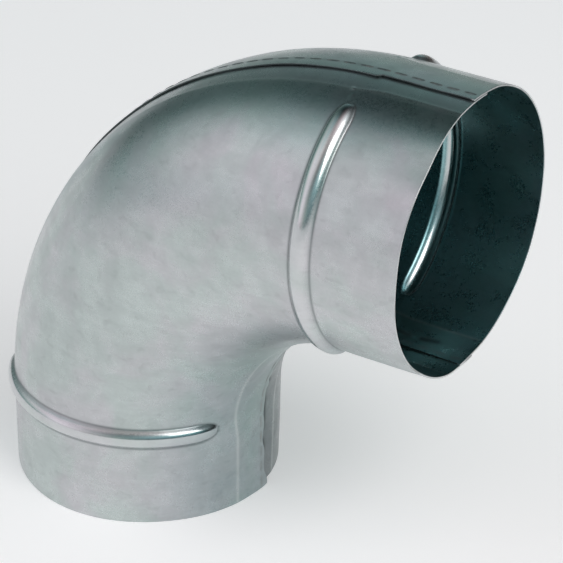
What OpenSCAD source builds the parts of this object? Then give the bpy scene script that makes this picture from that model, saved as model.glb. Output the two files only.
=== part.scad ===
// Pressed 90 degree duct bend: two lapped half-shells joined by two rows of
// weld stitches. Millimetres, +Z up. The origin is the centre of the lower
// opening. The lower leg runs up Z, the upper leg runs out along +X, and the
// bend lies in the XZ plane. The front half is on the -Y side.

/* [Duct] */
// Outside diameter of both spigots
duct_d = 124; // [100:1:160]
// Sheet thickness
sheet = 0.8; // [0.6:0.1:1.2]
// Radius of the bend, measured to the centreline
bend_r = 125; // [110:1:180]
// Straight length of each spigot
leg = 40; // [30:1:60]

/* [Stop beads] */
// Distance from the open end to the middle of the bead
bead_gap = 45; // [45:1:66]
// Width of the bead where it leaves the wall
bead_w = 9.6; // [8:0.2:9.6]
// Height of the bead above the wall
bead_h = 3; // [2.4:0.1:3.4]
// Angle left plain between the seam and the tip of the bead
bead_clear = 25; // [18:1:35]
// How much further from the throat the back half's lower bead stops
bead_short = 23; // [0:1:30]

/* [Seams] */
// How far the outer sheet laps past the seam plane on the outside of the bend
lap_heel = 6; // [4:0.5:8]
// How far the outer sheet laps past the seam plane on the inside of the bend
lap_throat = 4; // [3.5:0.5:6]
// Gap between the free edge and the joggle of the sheet that goes under it
joggle_gap = 0.4; // [0.2:0.1:0.8]
// Length of the joggle
joggle_w = 1.6; // [1.2:0.2:2.4]

/* [Weld stitches] */
// Pitch of the stitches along each seam
stitch_pitch = 8; // [7:0.5:12]
// Length of one stitch
stitch_len = 5.6; // [4:0.2:6]
// Width of one stitch
stitch_w = 1.6; // [1.2:0.1:2]
// Distance of the stitch row from the seam plane, towards the free edge
stitch_off = 1.1; // [0.9:0.1:1.6]

/* [Hidden] */
$fn = 96;
ro = duct_d / 2;                      // outside radius of the wall
ri = ro - sheet;                      // inside radius of the wall
reach = bend_r + leg;                 // how far each leg's end is from the other's axis
deg = 180 / PI / ro;                  // degrees per millimetre round the wall
bead_rr = (bead_w * bead_w / 4 + bead_h * bead_h) / (2 * bead_h);  // crown radius
bead_rc = ro + bead_h - bead_rr;      // radius of the ring that the crown runs on
bead_end = bead_rr + 0.2;               // radius of the bead's rounded ends
bead_half = 90 - bead_clear - asin(bead_w / 2 / ro);  // half the angle of the plain ring
heel_n = floor(PI / 2 * (bend_r + ro) / stitch_pitch);    // stitches round the heel
throat_n = floor(PI / 2 * (bend_r - ro) / stitch_pitch);  // stitches round the throat
leg_n = floor(leg / stitch_pitch);    // stitches along one leg
zinc = [0.60, 0.63, 0.62];
zinc_back = [0.52, 0.55, 0.55];
weld_grey = [0.40, 0.42, 0.41];

// A ring sector from radius r0 to r1 and from angle a0 to a1.
// Angle 0 is the heel, +90 is the back, -90 is the front and 180 is the throat.
module ring(r0, r1, a0, a1) {
  n = ceil((a1 - a0) / 30);
  difference() {
    intersection() {
      circle(r = r1);
      polygon(concat([[0, 0]],
        [for (i = [0 : n]) let (a = a0 + (a1 - a0) * i / n) 2 * r1 * [cos(a), sin(a)]]));
    }
    circle(r = r0);
  }
}

// Half of the wall's section. One edge laps past the seam plane on the outside,
// the other is stepped inwards by one sheet and goes under its neighbour.
module half_section(free_lap, tuck_lap) {
  edge = (tuck_lap + joggle_gap) * deg;
  step = joggle_w * deg;
  ring(ri, ro, -180 - free_lap * deg, -edge);
  ring(ri - sheet, ro, -edge - step, -edge);
  ring(ri - sheet, ri, -edge - step / 2, tuck_lap * deg);
}

module front_section() half_section(lap_throat, lap_heel);
module back_section() rotate(180) half_section(lap_heel, lap_throat);

// Puts a shape drawn round Z onto the axis that the bend turns about.
module bend_frame() translate([bend_r, 0, leg]) rotate([90, 0, 180]) children();

// Carries a section along the lower leg, round the bend and along the upper leg.
module sweep() {
  translate([0, 0, leg]) rotate([0, 180, 0]) linear_extrude(height = leg) children();
  bend_frame() rotate_extrude(angle = 90) translate([bend_r, 0]) children();
  translate([reach, 0, reach]) rotate([0, -90, 0]) linear_extrude(height = leg) children();
}

// A stop bead on the lower leg: a part ring with rounded ends, thinned by cut.
module bead(mid, half, cut) {
  translate([0, 0, bead_gap]) {
    rotate([0, 0, mid - half])
      rotate_extrude(angle = 2 * half) translate([bead_rc, 0]) circle(r = bead_rr - cut);
    for (s = [-1, 1])
      rotate([0, 0, mid + s * half]) translate([bead_rc, 0, 0]) sphere(r = bead_end - cut);
  }
}

// Both beads of one half. The lower one is short by an angle at its throat end.
module half_beads(mid, short, cut) {
  bead(mid + short / 2, bead_half - short / 2, cut);
  translate([reach, 0, reach]) mirror([1, 0, 1]) bead(mid, bead_half, cut);
}

// Every stitch of one seam, as a block of the wall from radius r0 to r1.
// at is the seam's angle, arc is its radius from the bend's axis.
module stitch_row(at, arc, count, r0, r1) {
  half = stitch_w / 2 * deg;
  turn = stitch_len / arc * 180 / PI;
  for (i = [0 : count - 1])
    bend_frame() rotate([0, 0, 90 * (i + 0.5) / count - turn / 2])
      rotate_extrude(angle = turn) translate([bend_r, 0]) ring(r0, r1, at - half, at + half);
  for (i = [0 : leg_n - 1]) {
    z = leg * (i + 0.5) / leg_n + stitch_len / 2;
    translate([0, 0, z]) rotate([0, 180, 0])
      linear_extrude(height = stitch_len) ring(r0, r1, at - half, at + half);
    translate([reach - z + stitch_len, 0, reach]) rotate([0, -90, 0])
      linear_extrude(height = stitch_len) ring(r0, r1, at - half, at + half);
  }
}

module heel_stitches(r0, r1) stitch_row(-stitch_off * deg, bend_r + ro, heel_n, r0, r1);
module throat_stitches(r0, r1) stitch_row(180 - stitch_off * deg, bend_r - ro, throat_n, r0, r1);

// One pressing without its weld slots: swept wall, raised beads, hollow behind them.
module pressing(mid, short) {
  difference() {
    union() {
      sweep() children();
      difference() {
        half_beads(mid, short, 0);
        sweep() circle(r = ro - sheet / 2);
      }
    }
    half_beads(mid, short, sheet);
  }
}

module front_half_shell() {
  color(zinc) difference() {
    pressing(270, 0) front_section();
    throat_stitches(ri - 0.3, ro + 0.4);
  }
}

module back_half_shell() {
  color(zinc_back) difference() {
    pressing(90, bead_short) back_section();
    heel_stitches(ri - 0.3, ro + 0.4);
  }
}

module heel_weld_row() color(weld_grey) heel_stitches(ri, ro);

module throat_weld_row() color(weld_grey) throat_stitches(ri, ro);

front_half_shell();
back_half_shell();
heel_weld_row();
throat_weld_row();
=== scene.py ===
import bmesh
import bpy
import math
import numpy as np
from mathutils import Matrix, Vector


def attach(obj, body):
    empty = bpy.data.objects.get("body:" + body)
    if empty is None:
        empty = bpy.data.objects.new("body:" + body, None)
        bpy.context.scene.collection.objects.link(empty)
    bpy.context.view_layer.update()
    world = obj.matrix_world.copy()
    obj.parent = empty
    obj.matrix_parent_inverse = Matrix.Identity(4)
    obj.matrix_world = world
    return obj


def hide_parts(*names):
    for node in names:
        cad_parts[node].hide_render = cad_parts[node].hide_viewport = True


# Pressed sheet-steel elbow. The CAD shells stay in the frame; here each is replaced by the finished pressing:
# swept wall with a lap at heel and throat, stop beads with formed ends, flattened seam strips and rolled marks.
# Lengths in the helpers are millimetres; meshes are written in metres.

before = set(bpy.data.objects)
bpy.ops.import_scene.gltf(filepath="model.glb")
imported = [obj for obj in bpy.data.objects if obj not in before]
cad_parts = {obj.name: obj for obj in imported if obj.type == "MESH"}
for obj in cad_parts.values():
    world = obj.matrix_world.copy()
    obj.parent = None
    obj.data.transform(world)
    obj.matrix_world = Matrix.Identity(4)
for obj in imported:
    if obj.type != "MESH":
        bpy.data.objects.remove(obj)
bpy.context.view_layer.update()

MM = 0.001
RO = 62.0        # outside radius of the wall
SHEET = 0.8      # thickness
BEND = 125.0     # radius of the centreline
LEG = 40.0       # straight spigot
REACH = BEND + LEG
ARC = BEND * math.pi / 2
TOTAL = 2 * LEG + ARC
BEAD_AT = 44.6   # middle of the stop bead, from the open end
BEAD_H = 3.0
BEAD_HALF = 5.2
STITCH_LONG = 5.6
STITCH_WIDE = 1.6
STITCH_OFF = 1.02    # degrees from the seam plane towards the free edge


def smooth(x):
    x = np.clip(x, 0.0, 1.0)
    return x * x * (3 - 2 * x)


def bump(x, at, width):
    return np.exp(-(((x - at) / width) ** 2))


def waves(x, y, seed, scale, n=7):
    """A smooth, repeatable wander of about unit size over (x, y) in millimetres."""
    g = np.random.default_rng(seed)
    out = 0
    for _ in range(n):
        k = g.normal(size=2) / scale
        out = out + np.sin(k[0] * x + k[1] * y + g.uniform(0, 6.283))
    return out / math.sqrt(n / 2) / 1.6


# ---------------------------------------------------------------- the sheet's own section
def edge_heel(u):
    """How far, in degrees, the outer sheet runs past the seam plane at the heel. It is trimmed back a little on the spigots."""
    near_end = smooth((u - 232.0) / 3.0) + smooth((43.0 - u) / 3.0)
    return 6.5 - 1.6 * near_end + 0.12 * np.sin(u / 9.0) + 0.08 * np.sin(u / 3.7 + 1)


def edge_throat(u):
    """The same at the throat, where the free edge wanders."""
    d = np.minimum(u, TOTAL - u)
    return 3.5 + 1.9 * smooth((9 - d) / 9.0) - 1.2 * bump(d, 27, 7) + 0.30 * np.sin(u / 2.3) + 0.25 * np.sin(u / 5.1 + 2)


def throat_gap(u):
    """How far the free edge at the throat stands off between its stitches; it wanders from one stitch to the next."""
    d = np.minimum(u, TOTAL - u)
    return 0.10 + 0.09 * np.sin(d / 3.1 + 0.5) + 0.16 * bump(d, 33, 4.5) + 0.22 * bump(d, 20, 3.2) + 0.10 * bump(d, 12, 2.5)


def radius(psi, u, side):
    """Outside radius of one sheet. psi is 0 at the heel and 180 at the throat, measured towards the sheet's own side (-1 front, +1 back)."""
    th = np.radians(psi)
    r = RO + side * 0.42 * np.cos(th)                      # the two pressings are staggered by one sheet
    d = np.minimum(u, TOTAL - u)                           # distance to the nearer open end
    rim = np.clip(1 - d / 38.0, 0, 1) ** 1.6
    top = u > TOTAL / 2
    if side < 0:
        up = -1.25 * bump(psi, 41, 10) + 0.7 * bump(psi, 70, 10) + 0.5 * bump(psi, 103, 10) - 0.75 * bump(psi, 142, 13)
        low = 0.5 * bump(psi, 180, 12) - 0.5 * bump(psi, 132, 16) + 0.4 * bump(psi, 90, 22) - 0.15 * bump(psi, 45, 15)
        r = r + rim * np.where(top, up, low)
        r = r + np.where(top, 0.06, 0.42) * smooth((psi - 173) / 10.0) * rim ** 0.5   # the free edge springs off at the lower end
        r = r + smooth((psi - 179) / 4.0) * throat_gap(u) * np.where(top, smooth(d / 8.0), 1.0)
        r = r - 0.40 * np.where(top, rim, 0) * smooth((psi - 168) / 8.0)
    else:
        r = r + rim * (-0.55 * smooth((psi - 128) / 20.0) * smooth((186 - psi) / 12.0) + 0.25 * bump(psi, 60, 25) - 0.2 * bump(psi, 100, 15))
        r = r + 0.10 * smooth((4.0 - psi) / 8.0) * (1 + np.sin(u / 6.1))
    # the strip next to each seam is a little flat, and ends in a rolled crease
    leg = smooth((52 - d) / 20.0)
    for centre, wide, narrow, depth in ((0.0, 17.0, 14.2, 0.42), (180.0, 16.0, 14.0, 0.36)):
        a = np.abs(psi - centre)
        a0 = wide + (narrow - wide) * leg
        r = r - depth * np.clip(1 - (a / a0) ** 2, 0, 1)
        r = r + (0.05 if centre == 0 else 0.09) * bump(a, a0, 0.7)
    # faint forming waves in the wall
    r = r + 0.035 * waves(u, psi * 1.08, 3 + side, 17.0) + 0.012 * waves(u, psi * 1.08, 9 + side, 6.0)
    return r


def bead_profile(s, k):
    """Height of the stop bead, s from its middle, k from 1 on the plain ring to 0 at its tip: a round crown with small fillets at its foot."""
    k = np.clip(k, 1e-4, 1)
    half = BEAD_HALF * (0.25 + 0.75 * k)
    h = BEAD_H * k
    total = (half ** 2 + h ** 2) / (2 * h)     # crown radius + fillet radius
    fil = np.minimum(0.75, total * 0.35)
    crown = total - fil
    a = np.abs(s)
    cut = half * crown / total
    top = h - crown + np.sqrt(np.clip(crown ** 2 - np.minimum(a, cut) ** 2, 0, None))
    foot = fil - np.sqrt(np.clip(fil ** 2 - np.clip(half - a, 0, fil) ** 2, 0, None))
    foot = np.where(a >= half, 0.0, foot)
    return np.where(a <= cut, top, foot)


def bead_height(psi, z, side, top):
    """Bead height at angle psi and distance z along the leg from its open end. The back sheet's lower bead stops early at the throat."""
    last = 132.4 if side > 0 and not top else 155.4
    d = np.minimum(psi - 24.6, last - psi) * math.pi / 180 * RO      # distance along the ring from the nearer tip
    k = np.sqrt(np.clip(1 - (1 - np.clip(d / 11.0, 0, 1)) ** 2, 0, 1))
    h = bead_profile(z - BEAD_AT, k)
    h = np.where(d <= 0, 0.0, h)
    # the press leaves two small nicks between the bead's tip and the seam strip
    for at, wide in ((20.3, 0.9), (16.6, 0.8)):
        h = h + 0.22 * bump(psi, at, wide) * bump(z - BEAD_AT, (20.3 - at) * 0.5 + 2.0, 0.9)
    return h


def leg_rows():
    """Distances from the open end of the rows that lie in planes across the leg."""
    return np.concatenate([np.linspace(0, 37.4, 26), np.linspace(38.2, 51.2, 37)])


def stitch_places(arc, count):
    """Distances along the centreline of every stitch of one seam, with the centreline length of each stitch; arc is the seam's own radius."""
    leg = [LEG * (i + 0.5) / 5 for i in range(5)]
    turn = [LEG + ARC * (i + 0.5) / count for i in range(count)]
    return [(a, STITCH_LONG) for a in leg] + [(a, STITCH_LONG * BEND / arc) for a in turn] + [(TOTAL - a, STITCH_LONG) for a in leg[::-1]]


HEEL = stitch_places(BEND + RO, 36)
THROAT = stitch_places(BEND - RO, 12)


def near_stitch(u, places):
    """1 on a stitch, falling to 0 between two."""
    out = np.zeros_like(u)
    for at, span in places:
        out = np.maximum(out, smooth(1.6 - np.abs(u - at) / (span * 0.55)))
    return out


def on_wall(psi, u, r, side):
    """Points at radius r, angle psi and centreline distance u."""
    th = np.radians(psi)
    phi = np.clip((u - LEG) / BEND, 0, math.pi / 2)
    low, high = np.minimum(u - LEG, 0), np.maximum(u - LEG - ARC, 0)
    reach = BEND + r * np.cos(th)
    x = BEND - reach * np.cos(phi) + high
    z = LEG + reach * np.sin(phi) + low
    return np.stack([x, side * r * np.sin(th), z], -1)


def stitches(name, places, psi0, side, seed, wide0, high0):
    """One row of weld stitches: each is a low rippled bead with round ends, rooted in the outer sheet."""
    g = np.random.default_rng(seed)
    verts, faces = [], []
    nr, na = 17, 14
    ang = np.linspace(0, 2 * math.pi, na, endpoint=False)
    for at, span in places:
        long = span * g.uniform(0.98, 1.14)
        wide = wide0 * g.uniform(0.82, 1.0)
        high = high0 * g.uniform(0.8, 1.2)
        slide = g.normal() * 0.12
        skew = g.normal() * 0.05
        t = np.sin(np.linspace(-1, 1, nr) * math.pi / 2 * 0.97)
        env = (1 - np.abs(t) ** 3.2) ** 0.5
        ripple = 1 + 0.13 * np.sin(t * g.uniform(13, 17) + g.uniform(0, 6))
        base = len(verts)
        c, sn = np.cos(ang)[None, :], np.sin(ang)[None, :]
        across = wide / 2 * (env * (1 + 0.06 * (ripple - 1) / 0.13))[:, None] * c
        lift = np.where(sn > 0, high * (env * ripple)[:, None], 0.45 * env[:, None]) * sn
        uu = (at + slide + t * long / 2)[:, None] * np.ones_like(c)
        pp = psi0 + (across + skew * t[:, None]) * 180 / math.pi / RO
        rr = radius(pp, uu, side) + lift
        verts += (on_wall(pp, uu, rr, side) * MM).reshape(-1, 3).tolist()
        order = range(na)
        for i in range(nr - 1):
            for j in order:
                a, b = base + i * na + j, base + i * na + (j + 1) % na
                faces.append((a, b, b + na, a + na))
        faces.append(tuple(base + j for j in order)[::-1])
        faces.append(tuple(base + (nr - 1) * na + j for j in order))
    mesh = bpy.data.meshes.new(name)
    mesh.from_pydata(verts, [], faces)
    bm = bmesh.new()
    bm.from_mesh(mesh)
    bmesh.ops.recalc_face_normals(bm, faces=bm.faces)
    bm.to_mesh(mesh)
    bm.free()
    mesh.shade_smooth()
    o = bpy.data.objects.new(name, mesh)
    bpy.context.collection.objects.link(o)
    return o


def half_surface(psi, side, flip):
    """Outer surface from one open end to the middle of the bend: rows across the leg, then rows that fan round to 45 degrees.
    psi is (rows, cols). Returns points, u, and bead height. flip puts it on the upper leg."""
    zs = leg_rows()
    fan = np.linspace(0, 1, 64)[1:]
    rows = len(zs) + len(fan)
    th = np.radians(psi)
    u0 = np.concatenate([zs, 51.2 + (TOTAL / 2 - 51.2) * fan])[:, None] * np.ones_like(psi)
    uu = TOTAL - u0 if flip else u0
    r = radius(psi, uu, side)
    z = np.zeros_like(psi)
    phi = np.zeros_like(psi)
    reach = BEND + r * np.cos(th)
    n = len(zs)
    z[:n] = zs[:, None]
    phi[:n] = np.arcsin(np.clip((z[:n] - LEG) / reach[:n], 0, 1))
    start = np.arcsin((zs[-1] - LEG) / reach[n:])
    phi[n:] = start + (math.pi / 4 - start) * fan[:, None]
    x = BEND - reach * np.cos(phi)
    zz = np.where(z > 0, z, 0)
    zz[n:] = LEG + (reach * np.sin(phi))[n:]
    y = side * r * np.sin(th)
    bh = np.zeros_like(psi)
    bh[:n] = bead_height(psi[:n], z[:n], side, flip)
    x = x - bh * np.cos(th)
    y = y + side * bh * np.sin(th)
    pts = np.stack([x, y, zz], -1)
    if flip:
        pts = np.stack([REACH - pts[..., 2], pts[..., 1], REACH - pts[..., 0]], -1)
    return pts, uu, bh


def columns(side):
    """Base angles of the columns, finer at the laps, the creases and the bead tips."""
    parts = [
        np.linspace(-7, 0, 9)[:-1], np.linspace(0, 13, 14)[:-1], np.linspace(13, 19, 14)[:-1], np.linspace(19, 24, 6)[:-1],
        np.linspace(24, 37, 25)[:-1], np.linspace(37, 143, 66)[:-1], np.linspace(143, 156, 25)[:-1], np.linspace(156, 161, 6)[:-1],
        np.linspace(161, 168, 16)[:-1], np.linspace(168, 180, 13)[:-1], np.linspace(180, 184, 7),
    ]
    return np.concatenate(parts)


def remap(base, u, side):
    """Moves the outer columns so that each sheet ends at its own edge."""
    e0 = -edge_heel(u) if side > 0 else -5.0 * np.ones_like(u)
    e1 = 180 + (edge_throat(u) if side < 0 else 4.0 * np.ones_like(u))
    psi = base.copy()
    low = base < 10
    psi = np.where(low, 10 - (10 - base) * (10 - e0) / 17.0, psi)
    high = base > 172
    psi = np.where(high, 172 + (base - 172) * (e1 - 172) / 12.0, psi)
    return psi


def shell(name, side):
    cols = columns(side)
    zs = leg_rows()
    fan = np.linspace(0, 1, 64)[1:]
    u0 = np.concatenate([zs, 51.2 + (TOTAL / 2 - 51.2) * fan])[:, None] * np.ones((1, len(cols)))
    base = np.ones((len(u0), 1)) * cols[None, :]
    a, ua, ba = half_surface(remap(base, u0, side), side, False)
    b, ub, bb = half_surface(remap(base, TOTAL - u0, side), side, True)
    pts = np.concatenate([a, b[::-1][1:]], 0)
    pts[len(a) - 1] = (a[-1] + b[-1]) / 2
    u = np.concatenate([ua, ub[::-1][1:]], 0)
    h = np.concatenate([ba, bb[::-1][1:]], 0)
    psi = np.concatenate([remap(base, u0, side), remap(base, TOTAL - u0, side)[::-1][1:]], 0)
    nr, nc = psi.shape
    mesh = bpy.data.meshes.new(name)
    idx = np.arange(nr * nc).reshape(nr, nc)
    q = np.stack([idx[:-1, :-1], idx[1:, :-1], idx[1:, 1:], idx[:-1, 1:]], -1).reshape(-1, 4)
    if side < 0:
        q = q[:, ::-1]
    mesh.from_pydata((pts * MM).reshape(-1, 3).tolist(), [], q.tolist())
    uvl = mesh.uv_layers.new(name="wrap")
    loops = np.empty(len(mesh.loops), int)
    mesh.loops.foreach_get("vertex_index", loops)
    uv = np.stack([u / TOTAL, psi / 200.0 + 0.05], -1).reshape(-1, 2)
    uvl.data.foreach_set("uv", uv[loops].astype(np.float32).ravel())
    # a painted highlight along the rolled creases, and painted shade in the fillet at each bead's foot
    d = np.minimum(u, TOTAL - u)
    leg = smooth((52 - d) / 20.0)
    painted_crease_highlight = bump(np.abs(psi), 17.0 - 2.8 * leg, 0.8) + bump(np.abs(psi - 180), 16.0 - 2.0 * leg, 0.8)
    s_leg = np.abs(d - BEAD_AT)
    tip = np.minimum(psi - 24.6, np.where((u < TOTAL / 2) & (side > 0), 132.4, 155.4) - psi) * math.pi / 180 * RO
    k = np.sqrt(np.clip(1 - (1 - np.clip(tip / 11.0, 0, 1)) ** 2, 0, 1))
    # painted shade: the fillet at the foot of each bead, darkened in the material below
    foot = np.where(tip > -0.8, bump(s_leg, BEAD_HALF * (0.25 + 0.75 * k) - 0.1, 0.55), 0) * (d < 52)
    foot = np.maximum(foot, bump(tip, -0.2, 0.6) * bump(s_leg, 0, 1.4))
    # painted shadow of the gap in the corner beside a free edge, on the sheet that goes under it: along the heel, and
    # in broken lengths at the throat
    broken = smooth(0.55 + 0.5 * np.sin(d / 3.1 + 0.5) + 1.2 * bump(d, 33, 6) + 1.1 * bump(d, 20, 4) - 1.1 * bump(d, 26.5, 2.5) - 0.9 * bump(d, 5, 5))
    if side < 0:
        painted_lap_shadow = 0.9 * bump(psi, edge_heel(u) + 0.30, 0.42)
    else:
        painted_lap_shadow = bump(psi, 180 - edge_throat(u) - 1.6 - 0.35 * np.sin(u / 2.9), 1.5) * broken
    # how much darker the sheet is painted: painted shade round the throat, and a painted dark reflection in a band
    # beside the heel seam and over the seam strip
    a = np.abs(psi)
    painted_shade = 0.95 * smooth((psi - 112) / 52.0)
    if side < 0:
        painted_shade = painted_shade + 0.95 * smooth((a - 15.0) / 2.5) * smooth((36.0 - a) / 12.0) * smooth((u - 60) / 60.0) + 0.45 * smooth((16.5 - a) / 2.0)
    else:
        painted_shade = painted_shade + 0.10 * smooth((18.0 - a) / 3.0)
    for key, value in (("painted_shade", np.clip(painted_shade, 0, 1)), ("foot", foot), ("painted_lap_shadow", painted_lap_shadow), ("bead", np.clip(h / BEAD_H, 0, 1)), ("painted_crease_highlight", np.clip(painted_crease_highlight, 0, 1)), ("rim", np.clip(1 - d / 3.0, 0, 1)),
                       ("seam", np.maximum(np.clip(1 - np.abs(psi + STITCH_OFF) / 2.6, 0, 1) * near_stitch(u, HEEL),
                                           np.clip(1 - np.abs(psi - 180 - STITCH_OFF) / 2.6, 0, 1) * near_stitch(u, THROAT)))):
        at = mesh.attributes.new(key, "FLOAT", "POINT")
        at.data.foreach_set("value", value.astype(np.float32).ravel())
    mesh.update()
    mesh.shade_smooth()
    o = bpy.data.objects.new(name, mesh)
    bpy.context.collection.objects.link(o)
    s = o.modifiers.new("thickness", "SOLIDIFY")
    s.thickness = SHEET * MM
    s.offset = -1
    s.use_even_offset = True
    s.use_quality_normals = True
    s.use_rim = True
    b = o.modifiers.new("broken_edges", "BEVEL")
    b.width = 0.14 * MM
    b.segments = 2
    b.limit_method = "ANGLE"
    b.angle_limit = math.radians(55)
    w = o.modifiers.new("normals", "WEIGHTED_NORMAL")
    w.keep_sharp = True
    return o


front = shell("front_pressing", -1)
back = shell("back_pressing", 1)
heel_row = stitches("heel_stitches", HEEL, -STITCH_OFF, 1, 11, STITCH_WIDE, 0.21)
throat_row = stitches("throat_stitches", THROAT, 180 + STITCH_OFF, -1, 12, STITCH_WIDE * 0.8, 0.12)
for o in (front, back):
    n = o.evaluated_get(bpy.context.evaluated_depsgraph_get()).to_mesh()
    print(o.name, len(n.vertices), len(n.polygons))


# ---------------------------------------------------------------- materials
class Nodes:
    """Short hand for building a node tree."""

    def __init__(self, name):
        self.m = bpy.data.materials.new(name)
        self.m.use_nodes = True
        self.t = self.m.node_tree
        self.b = self.t.nodes["Principled BSDF"]

    def add(self, kind, **sets):
        n = self.t.nodes.new(kind)
        for k, v in sets.items():
            setattr(n, k, v)
        return n

    def put(self, sock, v):
        if hasattr(v, "links"):
            self.t.links.new(v, sock)
        else:
            sock.default_value = v

    def math(self, op, a, b=0.0, c=0.0, clamp=False):
        n = self.add("ShaderNodeMath", operation=op, use_clamp=clamp)
        for i, v in enumerate((a, b, c)):
            self.put(n.inputs[i], v)
        return n.outputs[0]

    def coords(self, scale=(1, 1, 1), shift=(0, 0, 0)):
        c = self.add("ShaderNodeTexCoord").outputs["Object"]
        m = self.add("ShaderNodeMapping")
        m.inputs["Scale"].default_value = scale
        m.inputs["Location"].default_value = shift
        self.t.links.new(c, m.inputs["Vector"])
        return m.outputs["Vector"]

    def noise(self, vec, scale, detail=2.0, rough=0.5, distort=0.0):
        n = self.add("ShaderNodeTexNoise")
        self.put(n.inputs["Vector"], vec)
        n.inputs["Scale"].default_value = scale
        n.inputs["Detail"].default_value = detail
        n.inputs["Roughness"].default_value = rough
        n.inputs["Distortion"].default_value = distort
        return n.outputs["Fac"]

    def span(self, v, lo, hi, to_lo=0.0, to_hi=1.0, soft=True):
        n = self.add("ShaderNodeMapRange", interpolation_type="SMOOTHSTEP" if soft else "LINEAR", clamp=True)
        for i, x in enumerate((v, lo, hi, to_lo, to_hi)):
            self.put(n.inputs[i], x)
        return n.outputs["Result"]

    def mix(self, fac, a, b, blend="MIX"):
        n = self.add("ShaderNodeMix", data_type="RGBA", blend_type=blend, clamp_result=True)
        self.put(n.inputs["Factor"], fac)
        self.put(n.inputs[6], a)
        self.put(n.inputs[7], b)
        return n.outputs[2]

    def attr(self, key):
        return self.add("ShaderNodeAttribute", attribute_name=key).outputs["Fac"]

    def bump(self, height, strength, distance, normal=None):
        n = self.add("ShaderNodeBump")
        n.inputs["Strength"].default_value = strength
        n.inputs["Distance"].default_value = distance
        self.put(n.inputs["Height"], height)
        if normal is not None:
            self.put(n.inputs["Normal"], normal)
        return n.outputs["Normal"]


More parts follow.
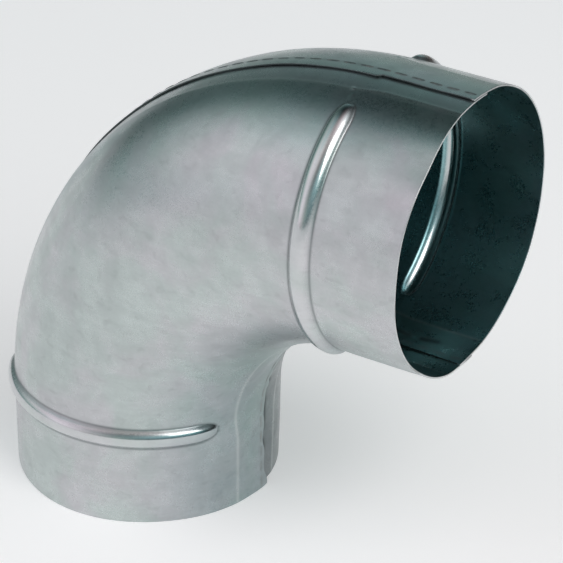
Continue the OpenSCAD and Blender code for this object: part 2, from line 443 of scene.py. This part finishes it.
def zinc_sheet(name, shift, painted_inside_shade, scuffs, painted_shade_tone, inside=False):
    """Galvanised sheet after pressing: cloudy zinc, fine grain, scuff clusters, smoother bead crowns with a painted
    highlight, a painted highlight along the creases, seams tinted by welding with painted shade beside the stitches,
    painted shadow lines beside the free edges and at the bead feet.
    painted_inside_shade darkens and tints it for the inside as painted shade; scuffs is how strong the soft scuffs are;
    painted_shade_tone is the colour that a full painted shade multiplies it by."""
    k = Nodes(name)
    v = k.coords(shift=shift)
    cloud = k.noise(v, 30, 3.0, 0.55, 0.4)
    patch = k.noise(v, 95, 4.0, 0.6, 0.2)
    grain = k.noise(v, 900, 3.0, 0.6)
    smear = k.noise(k.coords(scale=(1, 1, 1.4), shift=(shift[0] - 2, 5, 1)), 150, 1.0, 0.5, 0.6)
    drag = k.noise(k.coords(scale=(1, 1, 9), shift=(shift[0], 2, 7)), 60, 4.0, 0.6, 0.3)
    cell = k.add("ShaderNodeTexVoronoi", feature="F1")
    k.put(cell.inputs["Vector"], k.coords(shift=shift))
    cell.inputs["Scale"].default_value = 210
    spangle = k.add("ShaderNodeSeparateColor")
    k.t.links.new(cell.outputs["Color"], spangle.inputs["Color"])

    green, mauve = [tuple(a * b for a, b in zip(c, painted_inside_shade)) + (1,) for c in ((0.510, 0.562, 0.552), (0.553, 0.557, 0.575))]
    col = k.mix(k.span(cloud, 0.36, 0.64), green, mauve)
    value = k.math("ADD", k.span(patch, 0.3, 0.7, 0.95, 1.035), k.span(grain, 0.3, 0.7, -0.02, 0.02))
    value = k.math("ADD", value, k.span(spangle.outputs["Red"], 0, 1, -0.010, 0.010, soft=False))
    value = k.math("ADD", value, k.span(drag, 0.35, 0.65, -0.016, 0.016))
    value = k.math("SUBTRACT", value, k.span(smear, 0.56, 0.74, 0.0, 0.07 * scuffs))
    value = k.math("MULTIPLY", value, k.span(k.noise(k.coords(scale=(1, 1, 1), shift=(shift[0] + 8, 4, 4)), 45, 2.0, 0.5), 0.3, 0.7, 0.965, 1.025))
    seam, bead, painted_crease_highlight = k.attr("seam"), k.attr("bead"), k.attr("painted_crease_highlight")
    heat_tint_and_painted_shade = k.math("MULTIPLY", k.span(seam, 0.25, 1.0), k.span(k.noise(v, 260, 2), 0.3, 0.7, 0.6, 1.0))
    grey = k.add("ShaderNodeCombineColor")
    for i in range(3):
        k.put(grey.inputs[i], value)
    col = k.mix(1.0, col, grey.outputs["Color"], "MULTIPLY")
    if inside:
        # painted highlight: the groove behind each bead is lightened to a neutral grey so that its highlight reads
        # white
        col = k.mix(k.span(bead, 0.15, 0.75), col, (0.52, 0.55, 0.55, 1))
    else:
        # painted highlight: the crowns are lightened so that their highlight reads brighter; the burnish itself is
        # their lower roughness
        col = k.mix(k.span(bead, 0.35, 0.95, 0, 0.28), col, (0.78, 0.80, 0.80, 1))
        # painted shade and painted dark reflection: the sheet is darkened towards the given colour where the mask is
        # high
        painted_shade_amount = k.math("MULTIPLY", k.attr("painted_shade"), k.span(k.noise(k.coords(scale=(1, 1, 1), shift=(2, shift[0], 6)), 70, 3.0, 0.6, 0.5), 0.3, 0.7, 0.80, 1.0))
        col = k.mix(painted_shade_amount, col, k.mix(1.0, col, painted_shade_tone + (1,), "MULTIPLY"))
    # heat tint, and painted shade of the dent beside each stitch: the band at the stitches is darkened
    col = k.mix(k.math("MULTIPLY", heat_tint_and_painted_shade, 0.45), col, (0.30, 0.33, 0.34, 1))
    # painted highlight: a lighter line along the rolled creases
    col = k.mix(k.math("MULTIPLY", painted_crease_highlight, 0.35), col, (0.70, 0.73, 0.72, 1))
    # painted shade: near-black lines in the corner beside each free edge and in the fillet at each bead's foot
    painted_line_shade = k.math("MAXIMUM", k.math("MULTIPLY", k.attr("painted_lap_shadow"), 0.92), k.math("MULTIPLY", k.attr("foot"), 0.0 if inside else 0.55))
    painted_line_shade = k.math("MULTIPLY", painted_line_shade, k.span(patch, 0.3, 0.7, 0.85, 1.0))
    col = k.mix(painted_line_shade, col, (0.060, 0.080, 0.082, 1))
    k.put(k.b.inputs["Base Color"], col)
    k.b.inputs["Metallic"].default_value = 1.0
    rough = k.math("ADD", k.span(patch, 0.3, 0.7, 0.33, 0.27), k.span(grain, 0.3, 0.7, -0.03, 0.03))
    rough = k.math("SUBTRACT", rough, k.math("MULTIPLY", k.span(bead, 0.25, 0.9), 0.14))
    rough = k.math("ADD", rough, k.math("MULTIPLY", heat_tint_and_painted_shade, 0.12))
    rough = k.math("ADD", rough, k.math("MULTIPLY", painted_line_shade, 0.15))
    k.put(k.b.inputs["Roughness"], rough)
    n = k.bump(k.noise(v, 80, 0.0, 0.4), 0.10, 0.0006)
    k.put(k.b.inputs["Normal"], n)
    return k.m


def cut_edge(name):
    """Sheared edge of the sheet: brighter bare steel with shear lines."""
    k = Nodes(name)
    shear = k.noise(k.coords(scale=(1, 1, 1)), 1400, 3.0, 0.6)
    dirt = k.noise(k.coords(shift=(2, 2, 2)), 60, 3.0, 0.6)
    col = k.mix(k.span(dirt, 0.42, 0.66), (0.62, 0.64, 0.64, 1), (0.34, 0.36, 0.36, 1))
    col = k.mix(k.span(shear, 0.4, 0.7, 0, 0.3), col, (0.75, 0.76, 0.76, 1))
    # along the seams the edge is painted near black as shade of the gap under it; at the open ends it is clean
    col = k.mix(k.span(k.attr("rim"), 0.3, 0.8), (0.075, 0.090, 0.092, 1), col)
    k.put(k.b.inputs["Base Color"], col)
    k.b.inputs["Metallic"].default_value = 1.0
    k.put(k.b.inputs["Roughness"], k.span(shear, 0.3, 0.7, 0.30, 0.46))
    k.put(k.b.inputs["Normal"], k.bump(shear, 0.2, 0.0001))
    return k.m


def weld_metal(name, clean):
    """Stitch weld: dull, oxidised, slightly rippled, with straw heat colour. clean is how much of it has been brushed bright."""
    k = Nodes(name)
    a = k.noise(k.coords(), 420, 3.0, 0.6)
    b = k.noise(k.coords(shift=(4, 1, 3)), 170, 2.0, 0.5)
    col = k.mix(k.span(a, 0.35, 0.65), (0.150, 0.185, 0.185, 1), (0.245, 0.265, 0.262, 1))
    col = k.mix(k.span(b, 0.55, 0.75, 0, 0.5), col, (0.20, 0.16, 0.12, 1))
    col = k.mix(k.span(a, 0.3, 0.7, clean, min(1.0, clean * 1.3)), col, (0.46, 0.50, 0.50, 1))
    k.put(k.b.inputs["Base Color"], col)
    k.b.inputs["Metallic"].default_value = 0.85
    k.put(k.b.inputs["Roughness"], k.span(a, 0.3, 0.7, 0.42, 0.62))
    k.put(k.b.inputs["Normal"], k.bump(a, 0.4, 0.00015))
    return k.m


# the last triple is the colour that the painted shade darkens towards; the back sheet's is much darker than the front's
zinc_front = zinc_sheet("zinc_front", (0.0, 0.0, 0.0), (1, 1, 1), 1.0, (0.60, 0.705, 0.705))
zinc_back = zinc_sheet("zinc_back", (0.7, 0.3, 0.1), (1, 1, 1), 1.0, (0.33, 0.385, 0.385))
# the inside is a darker, teal copy of the zinc: painted shade for the inside of the tube
zinc_inside_painted_shade = zinc_sheet("zinc_inside_painted_shade", (0.2, 0.9, 0.4), (0.46, 0.74, 0.76), 0.4, (1, 1, 1), True)
bare = cut_edge("sheared_edge")
weld = weld_metal("weld_metal", 0.0)
weld_inner = weld_metal("weld_metal_throat", 0.5)
for o, m in ((front, zinc_front), (back, zinc_back)):
    for slot_material in (m, bare, zinc_inside_painted_shade):
        o.data.materials.append(slot_material)
    o.modifiers["thickness"].material_offset_rim = 1
    o.modifiers["thickness"].material_offset = 2
    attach(o, "root")
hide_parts("front_half_shell")
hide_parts("back_half_shell")
for o, n, metal in ((heel_row, "heel_weld_row", weld), (throat_row, "throat_weld_row", weld_inner)):
    o.data.materials.append(metal)
    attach(o, "root")
    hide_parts(n)

# ---------------------------------------------------------------- stage
floor_mesh = bpy.data.meshes.new("floor")
floor_mesh.from_pydata([(-20, -20, 0), (20, -20, 0), (20, 20, 0), (-20, 20, 0)], [], [(0, 1, 2, 3)])
floor = bpy.data.objects.new("floor", floor_mesh)
bpy.context.collection.objects.link(floor)
fm = bpy.data.materials.new("floor_paper")
fm.use_nodes = True
fb = fm.node_tree.nodes["Principled BSDF"]
fb.inputs["Base Color"].default_value = (0.9, 0.9, 0.9, 1)
fb.inputs["Roughness"].default_value = 0.9
fb.inputs["Emission Color"].default_value = (1, 1, 1, 1)
fb.inputs["Emission Strength"].default_value = 0.33
floor_mesh.materials.append(fm)

# soft studio: broad glows placed by direction (turn from the front, height above the floor, red, green, blue), then one soft box
GLOWS = [
    (-170, 6, 0.16, 0.10, 0.08), (-140, 6, 0.20, 0.27, 0.26), (-85, 6, 0.09, 0.17, 0.17), (-60, 6, 0.07, 0.19, 0.16),
    (-35, 6, 0.70, 0.64, 0.69), (-10, 6, 0.33, 0.32, 0.32), (15, 6, 0.19, 0.26, 0.25), (65, 6, 0.10, 0.12, 0.14),
    (-160, 28, 0.21, 0.33, 0.34), (-95, 28, 0.14, 0.23, 0.21), (-68, 28, 0.66, 0.54, 0.57), (-42, 28, 0.38, 0.32, 0.37),
    (-15, 28, 0.16, 0.19, 0.20), (40, 28, 0.27, 0.40, 0.44), (68, 28, 0.08, 0.34, 0.34),
    (-65, 52, 0.13, 0.29, 0.30), (-25, 52, 0.66, 0.59, 0.60), (55, 52, 0.36, 0.31, 0.30), (95, 52, 1.19, 1.24, 1.26),
    (60, 74, 0.53, 0.43, 0.45),
]
SOFT_BOXES = [(68, 41, 1.3, 0.7, 5.0, (1.0, 0.90, 0.89))]


def toward(turn, high):
    a, e = math.radians(turn), math.radians(high)
    return Vector((math.sin(a) * math.cos(e), -math.cos(a) * math.cos(e), math.sin(e)))


world = bpy.data.worlds.new("studio")
bpy.context.scene.world = world
world.use_nodes = True
wt = world.node_tree
facing = wt.nodes.new("ShaderNodeTexCoord").outputs["Generated"]
total = None
for turn, high, *tint in GLOWS:
    d = wt.nodes.new("ShaderNodeVectorMath")
    d.operation = "DOT_PRODUCT"
    d.inputs[1].default_value = toward(turn, high)
    wt.links.new(facing, d.inputs[0])
    m = wt.nodes.new("ShaderNodeMath")
    m.operation = "MULTIPLY_ADD"
    m.inputs[1].default_value = 16.0
    m.inputs[2].default_value = -16.0
    wt.links.new(d.outputs["Value"], m.inputs[0])
    e = wt.nodes.new("ShaderNodeMath")
    e.operation = "EXPONENT"
    wt.links.new(m.outputs[0], e.inputs[0])
    add = wt.nodes.new("ShaderNodeVectorMath")
    add.operation = "MULTIPLY_ADD"
    add.inputs[1].default_value = tint
    wt.links.new(e.outputs[0], add.inputs[0])
    if total is not None:
        wt.links.new(total, add.inputs[2])
    total = add.outputs["Vector"]
wt.links.new(total, wt.nodes["Background"].inputs["Color"])
wt.nodes["Background"].inputs["Strength"].default_value = 1.0
for i, (turn, high, far, size, watts, tint) in enumerate(SOFT_BOXES):
    box = bpy.data.lights.new("soft_box_%d" % i, "AREA")
    box.shape = "SQUARE"
    box.size = size
    box.energy = watts
    box.color = tint
    ob = bpy.data.objects.new(box.name, box)
    bpy.context.collection.objects.link(ob)
    d = toward(turn, high)
    ob.location = Vector((0.06, 0, 0.12)) + d * far
    ob.rotation_euler = d.to_track_quat("Z", "Y").to_euler()

cam = bpy.data.objects.new("camera", bpy.data.cameras.new("camera"))
bpy.context.collection.objects.link(cam)
cam.data.sensor_width = 36.0
cam.data.lens = 36.0 * 2419.54 / 563.0
cam.data.clip_start, cam.data.clip_end = 0.05, 20
right = Vector((0.83694279, 0.54711241, 0.0139564)).normalized()
down = Vector((0.27888695, -0.40440704, -0.87102067))
down = (down - down.dot(right) * right).normalized()
ahead = right.cross(down).normalized()
rot = Matrix((right, -down, -ahead)).transposed()
cam.matrix_world = Matrix.Translation((0.5693374, -0.7728933, 0.6308114)) @ rot.to_4x4()
bpy.context.scene.camera = cam

bpy.context.scene.view_settings.view_transform = "Standard"
